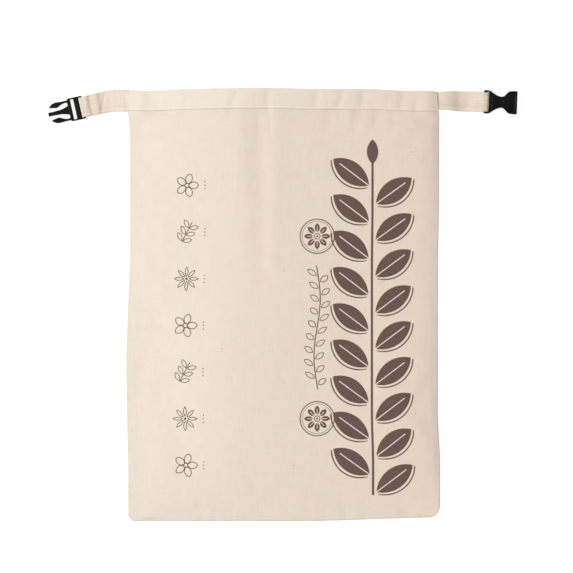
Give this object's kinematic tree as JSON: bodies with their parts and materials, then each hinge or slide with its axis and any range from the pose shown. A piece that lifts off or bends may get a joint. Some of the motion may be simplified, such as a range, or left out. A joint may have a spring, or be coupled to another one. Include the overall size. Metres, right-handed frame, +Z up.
{
  "type": "bread bag",
  "caption": "Flat cotton roll-top bread bag with a hemmed open mouth, side straps and a side-release buckle in two halves.",
  "frame": {"origin": "on the surface the bag lies on, under the middle of the whole length from buckle half to buckle half", "axes": "+X runs from the prong half of the buckle to the socket half, +Y from the sewn bottom to the open mouth, +Z up from the surface"},
  "size_m": [0.4539, 0.4192, 0.0109],
  "materials": {
    "cotton": "unbleached plain-weave cotton, matt, with a brown print on the front",
    "tape": "unbleached cotton tape, matt",
    "black_plastic": "moulded, satin"
  },
  "bodies": {
    "root": {"front_panel": "cotton", "back_panel": "cotton", "left_strap": "tape", "right_strap": "tape", "male_buckle": "black_plastic", "female_buckle": "black_plastic"}
  },
  "joints": []
}
